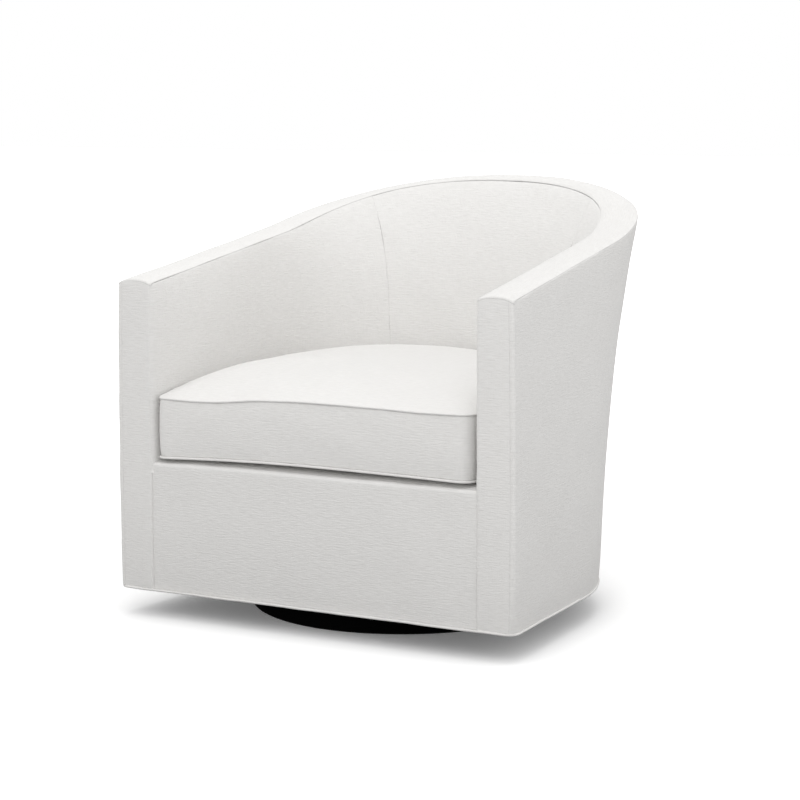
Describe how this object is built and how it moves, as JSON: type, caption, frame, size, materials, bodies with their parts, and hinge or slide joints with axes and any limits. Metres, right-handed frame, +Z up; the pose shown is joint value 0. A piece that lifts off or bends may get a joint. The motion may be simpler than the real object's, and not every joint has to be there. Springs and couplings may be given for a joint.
{
  "type": "swivel barrel chair",
  "caption": "Barrel-shaped swivel armchair: an upholstered wrap-round shell with a loose seat cushion, turning on a low round plinth.",
  "frame": {"origin": "on the floor, on the swivel axis at the centre of the round plinth", "axes": "+Z up, -Y towards the front of the chair, +X towards the sitter's left"},
  "size_m": [0.8092, 0.8168, 0.784],
  "materials": {
    "fabric_ivory": "matte woven",
    "foam": "matte cellular",
    "wadding": "matte fleece",
    "deck_cloth": "matte woven",
    "dust_cloth": "matte non-woven",
    "webbing": "matte woven",
    "felt_black": "matte felt",
    "plinth_black": "satin black paint",
    "black_steel": "black powder coat",
    "zinc_steel": "zinc plated",
    "ball_steel": "polished",
    "spring_steel": "oiled wire",
    "cage_nylon": "matte",
    "plywood": "raw plywood",
    "hardwood": "raw timber",
    "liner_card": "grey board",
    "zip_tape": "woven tape",
    "zip_metal": "nickel plated"
  },
  "bodies": {
    "base": {"felt_pad": "felt_black", "plinth_disc": "plinth_black", "plinth_screws": "zinc_steel", "lower_plate": "black_steel", "lower_race": "zinc_steel", "pivot_bolt": "zinc_steel", "pivot_washer": "zinc_steel", "pivot_nut": "zinc_steel"},
    "bearing": {"ball_cage": "cage_nylon", "bearing_balls": "ball_steel"},
    "chair": {"board_screws": "zinc_steel", "upper_plate": "black_steel", "upper_race": "zinc_steel", "bottom_rail_left": "plywood", "bottom_rail_back": "plywood", "bottom_rail_right": "plywood", "seat_rail_left": "hardwood", "seat_rail_back": "hardwood", "seat_rail_right": "hardwood", "top_rail_left": "hardwood", "top_rail_back": "hardwood", "top_rail_right": "hardwood", "front_post_left": "hardwood", "front_post_right": "hardwood", "back_uprights": "plywood", "corner_uprights": "plywood", "side_uprights": "plywood", "front_rail": "hardwood", "corner_blocks": "hardwood", "swivel_board": "plywood", "seat_springs": "spring_steel", "spring_clips": "zinc_steel", "spring_tie_wires": "spring_steel", "back_webbing": "webbing", "outer_liner": "liner_card", "outer_wadding": "wadding", "outer_cover": "fabric_ivory", "inner_cover_left": "fabric_ivory", "inner_cover_back": "fabric_ivory", "inner_cover_right": "fabric_ivory", "inner_pad_left": "foam", "inner_pad_back": "foam", "inner_pad_right": "foam", "band_pad": "foam", "band_cover": "fabric_ivory", "arm_panel_left": "fabric_ivory", "arm_panel_right": "fabric_ivory", "arm_pad_left": "foam", "arm_pad_right": "foam", "rail_cover": "fabric_ivory", "rail_pad": "foam", "deck_pad": "foam", "deck_cover": "deck_cloth", "dust_cover": "dust_cloth", "hem_welt": "fabric_ivory"},
    "cushion": {"cushion_cover": "fabric_ivory", "cushion_foam": "foam", "cushion_welt": "fabric_ivory", "cushion_zip": "zip_tape"},
    "zipper": {"zip_slider": "zip_metal"}
  },
  "joints": [
    {"name": "swivel", "type": "hinge", "parent": "base", "child": "chair", "pos_m": [0, 0, 0.04175], "axis": [0, 0, 1], "continuous": true},
    {"name": "bearing_orbit", "type": "hinge", "parent": "base", "child": "bearing", "pos_m": [0, 0, 0.04175], "axis": [0, 0, 1], "continuous": true},
    {"name": "cushion_lift", "type": "slide", "parent": "chair", "child": "cushion", "axis": [0, 0, 1], "range_m": [0, 0.35]},
    {"name": "zip_slide", "type": "hinge", "parent": "cushion", "child": "zipper", "pos_m": [0, -0.04332, 0.36], "axis": [0, 0, 1], "range_deg": [-44.7, 0]}
  ],
  "couplings": [
    {"joint": "bearing_orbit", "follows": "swivel", "ratio": 0.5}
  ]
}
